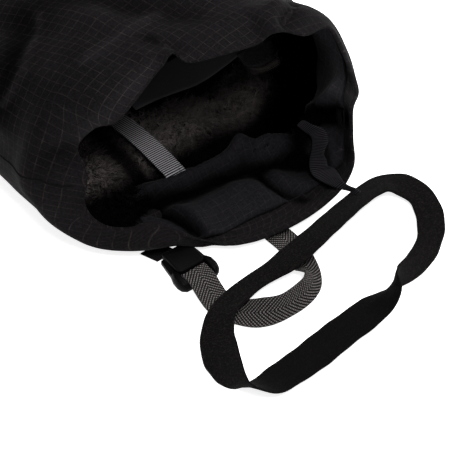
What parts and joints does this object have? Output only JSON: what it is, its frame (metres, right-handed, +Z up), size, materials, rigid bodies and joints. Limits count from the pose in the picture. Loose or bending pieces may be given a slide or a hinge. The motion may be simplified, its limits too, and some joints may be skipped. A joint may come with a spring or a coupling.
{
  "type": "winter mitten",
  "caption": "Long-cuffed winter mitten with pile lining, webbing pull loop with buckle and an elastic wrist leash, lying palm down.",
  "frame": {"origin": "middle of the base of the whole part, on the surface it rests on", "axes": "+Y along the mitten from the cuff's lip to the fingertips, +X to the side of the thumb, +Z up"},
  "size_m": [0.2054, 0.477, 0.104],
  "materials": {
    "shell": "matt ripstop weave",
    "facing": "matt ripstop weave",
    "lining": "long pile",
    "label_band": "smooth tape",
    "fleece_tab": "pile with an overlocked edge",
    "inner_strap": "ribbed webbing",
    "buckle": "moulded, fine matt",
    "buckle_tab": "webbing",
    "pull_loop": "herringbone webbing",
    "leash_loop": "brushed elastic",
    "leash_tether": "ribbed webbing"
  },
  "bodies": {
    "root": {"shell": "shell", "facing": "facing", "lining": "lining", "label_band": "label_band", "fleece_tab": "fleece_tab", "inner_strap": "inner_strap", "buckle": "buckle", "buckle_tab": "buckle_tab", "pull_loop": "pull_loop", "leash_loop": "leash_loop", "leash_tether": "leash_tether"}
  },
  "joints": []
}
